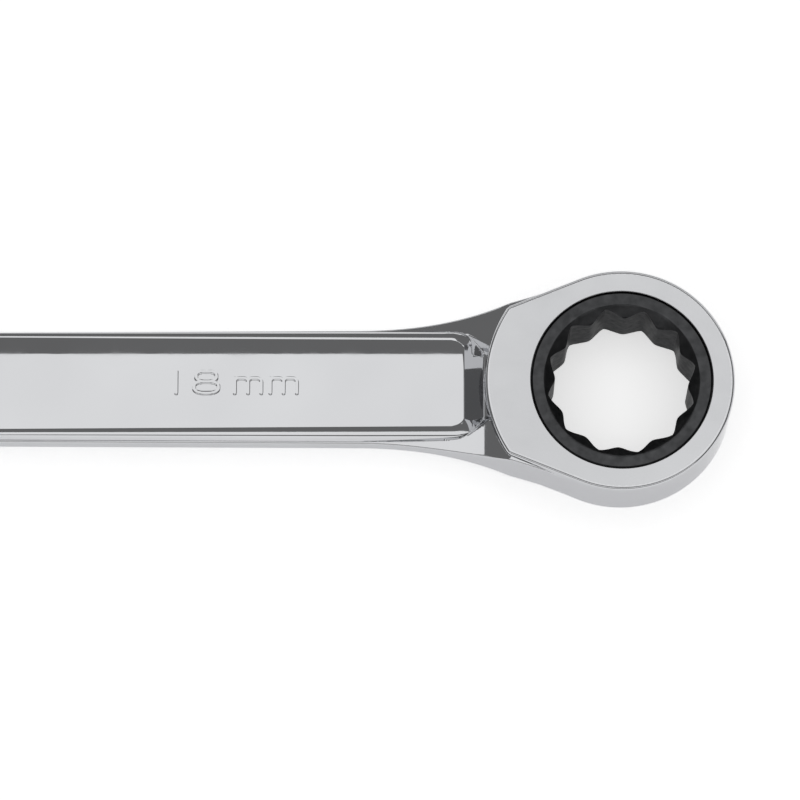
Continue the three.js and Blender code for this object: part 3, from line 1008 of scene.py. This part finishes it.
def machined_material():
    """The turned seat inside the head: plated over fine tool marks."""
    n = Nodes("machined_seat")
    n.socket("Metallic").default_value = 1.0
    shades = [(0.3, (0.42, 0.42, 0.43)), (0.7, (0.52, 0.52, 0.53))]
    n.join(n.ramp(n.noise(400, 3), shades), n.socket("Base Color"))
    n.join(n.ramp(n.noise(900, 4), [(0.3, 0.22), (0.7, 0.36)]), n.socket("Roughness"))
    n.join(n.bump(n.noise(2500, 3, (0.3, 0.3, 3)), 0.000004), n.socket("Normal"))
    return n.material


def black_oxide_material():
    """Blackened steel: fine turned rings over darker and lighter patches."""
    n = Nodes("black_oxide")
    n.socket("Metallic").default_value = 1.0
    n.socket("Specular Tint").default_value = (0.45, 0.45, 0.45, 1)
    shades = [(0.3, (0.046, 0.047, 0.049)), (0.75, (0.078, 0.079, 0.082))]
    n.join(n.ramp(n.noise(700, 5), shades), n.socket("Base Color"))
    n.join(n.ramp(n.noise(1300, 4), [(0.3, 0.28), (0.75, 0.46)]), n.socket("Roughness"))
    centre = n.add("ShaderNodeVectorMath", operation="SUBTRACT")
    centre.inputs[1].default_value = tuple(origin)
    n.join(n.where, centre.inputs[0])
    rings = n.add("ShaderNodeTexWave", wave_type="RINGS", rings_direction="Z")
    rings.inputs["Scale"].default_value = 1400
    rings.inputs["Distortion"].default_value = 0.4
    n.join(centre.outputs["Vector"], rings.inputs["Vector"])
    grain = n.bump(n.noise(3500, 4), 0.000004)
    n.join(n.bump(rings.outputs["Fac"], 0.000002, 0.6, grain), n.socket("Normal"))
    return n.material


def steel_material(name, low, high, rough):
    """Plain steel with a film of oil: ground marks and soft stains."""
    n = Nodes(name)
    n.socket("Metallic").default_value = 1.0
    n.join(n.ramp(n.noise(900, 4), [(0.3, low), (0.7, high)]), n.socket("Base Color"))
    n.join(n.ramp(n.noise(1500, 3), [(0.3, rough), (0.7, rough + 0.14)]), n.socket("Roughness"))
    n.join(n.bump(n.noise(5000, 3, (0.3, 1, 1)), 0.000003), n.socket("Normal"))
    return n.material


# ---- stage, light and camera -------------------------------------------------------------


def add_floor():
    """A plain pale floor that gives off a little light, so that it shows white."""
    n = Nodes("pale_floor")
    n.join(n.ramp(n.noise(3, 2), [(0.3, 0.80), (0.7, 0.82)]), n.socket("Base Color"))
    n.socket("Roughness").default_value = 0.6
    n.socket("Emission Color").default_value = (1, 1, 1, 1)
    n.socket("Emission Strength").default_value = FLOOR_GLOW
    mesh = bpy.data.meshes.new("floor")
    corners = [(x * FLOOR_HALF, y * FLOOR_HALF, 0) for x, y in ((-1, -1), (1, -1), (1, 1), (-1, 1))]
    mesh.from_pydata(corners, [], [(0, 1, 2, 3)])
    mesh.materials.append(n.material)
    floor = bpy.data.objects.new("floor", mesh)
    bpy.context.collection.objects.link(floor)


def softbox(name, lean, distance, size, level):
    """A soft rectangular light, turned about X by its lean from overhead and facing the part."""
    data = bpy.data.lights.new(name, "AREA")
    data.shape = "RECTANGLE"
    data.size, data.size_y = size
    data.energy = WATTS_PER_LEVEL * size[0] * size[1] * level
    light = bpy.data.objects.new(name, data)
    light.location = origin + distance * Vector((0, math.sin(lean), math.cos(lean)))
    light.rotation_euler = (-lean, 0, 0)
    bpy.context.collection.objects.link(light)


def add_light():
    """Plain studio light: a softbox overhead, the same smaller one low on each side, an even room."""
    softbox("overhead", 0.0, OVERHEAD_DISTANCE, OVERHEAD_SIZE, OVERHEAD_LEVEL)
    for side, name in ((-1, "front"), (1, "back")):
        softbox(name, side * SIDE_LEAN, SIDE_DISTANCE, SIDE_SIZE, SIDE_LEVEL)
    world = bpy.data.worlds.new("studio")
    bpy.context.scene.world = world
    world.use_nodes = True
    background = world.node_tree.nodes["Background"]
    background.inputs["Color"].default_value = (1, 1, 1, 1)
    background.inputs["Strength"].default_value = ROOM_LEVEL


def add_camera():
    target = origin + Vector((VIEW_LEFT, VIEW_DOWN, HEAD_TOP * MM))
    lift = math.radians(VIEW_ELEVATION)
    data = bpy.data.cameras.new("camera")
    data.sensor_width = 36
    data.lens = VIEW_LENS
    data.clip_end = 100
    camera = bpy.data.objects.new("camera", data)
    camera.location = target + VIEW_DISTANCE * Vector((0, -math.cos(lift), math.sin(lift)))
    camera.rotation_euler = (math.pi / 2 - lift, 0, 0)
    bpy.context.collection.objects.link(camera)
    bpy.context.scene.camera = camera


# ---- the scene ---------------------------------------------------------------------------


def dress(piece, node, body):
    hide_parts(node)
    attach(piece, body)


add_camera()
add_floor()
add_light()
bpy.context.scene.view_settings.view_transform = "Standard"

chrome = chrome_material("polished_chrome", (0.60, 0.605, 0.62), (0.63, 0.636, 0.65), 0.07, 0.03)
satin = chrome_material("satin_chrome", (0.55, 0.555, 0.568), (0.585, 0.59, 0.603), 0.24, 0.17)
machined = machined_material()
black = black_oxide_material()
ground = steel_material("ground_steel", (0.36, 0.36, 0.37), (0.5, 0.5, 0.51), 0.22)
wire = steel_material("spring_wire", (0.3, 0.3, 0.31), (0.42, 0.42, 0.43), 0.26)

dress(wrench_piece(chrome, machined, satin), "wrench_body", "wrench")
dress(gear_piece(black), "ratchet_gear", "gear")
dress(pawl_piece(ground), "pawl", "pawl")
dress(ring_piece(wire), "retaining_ring", "wrench")
spring = spring_piece(wire)
dress(spring, "pawl_spring", "wrench")
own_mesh(spring)
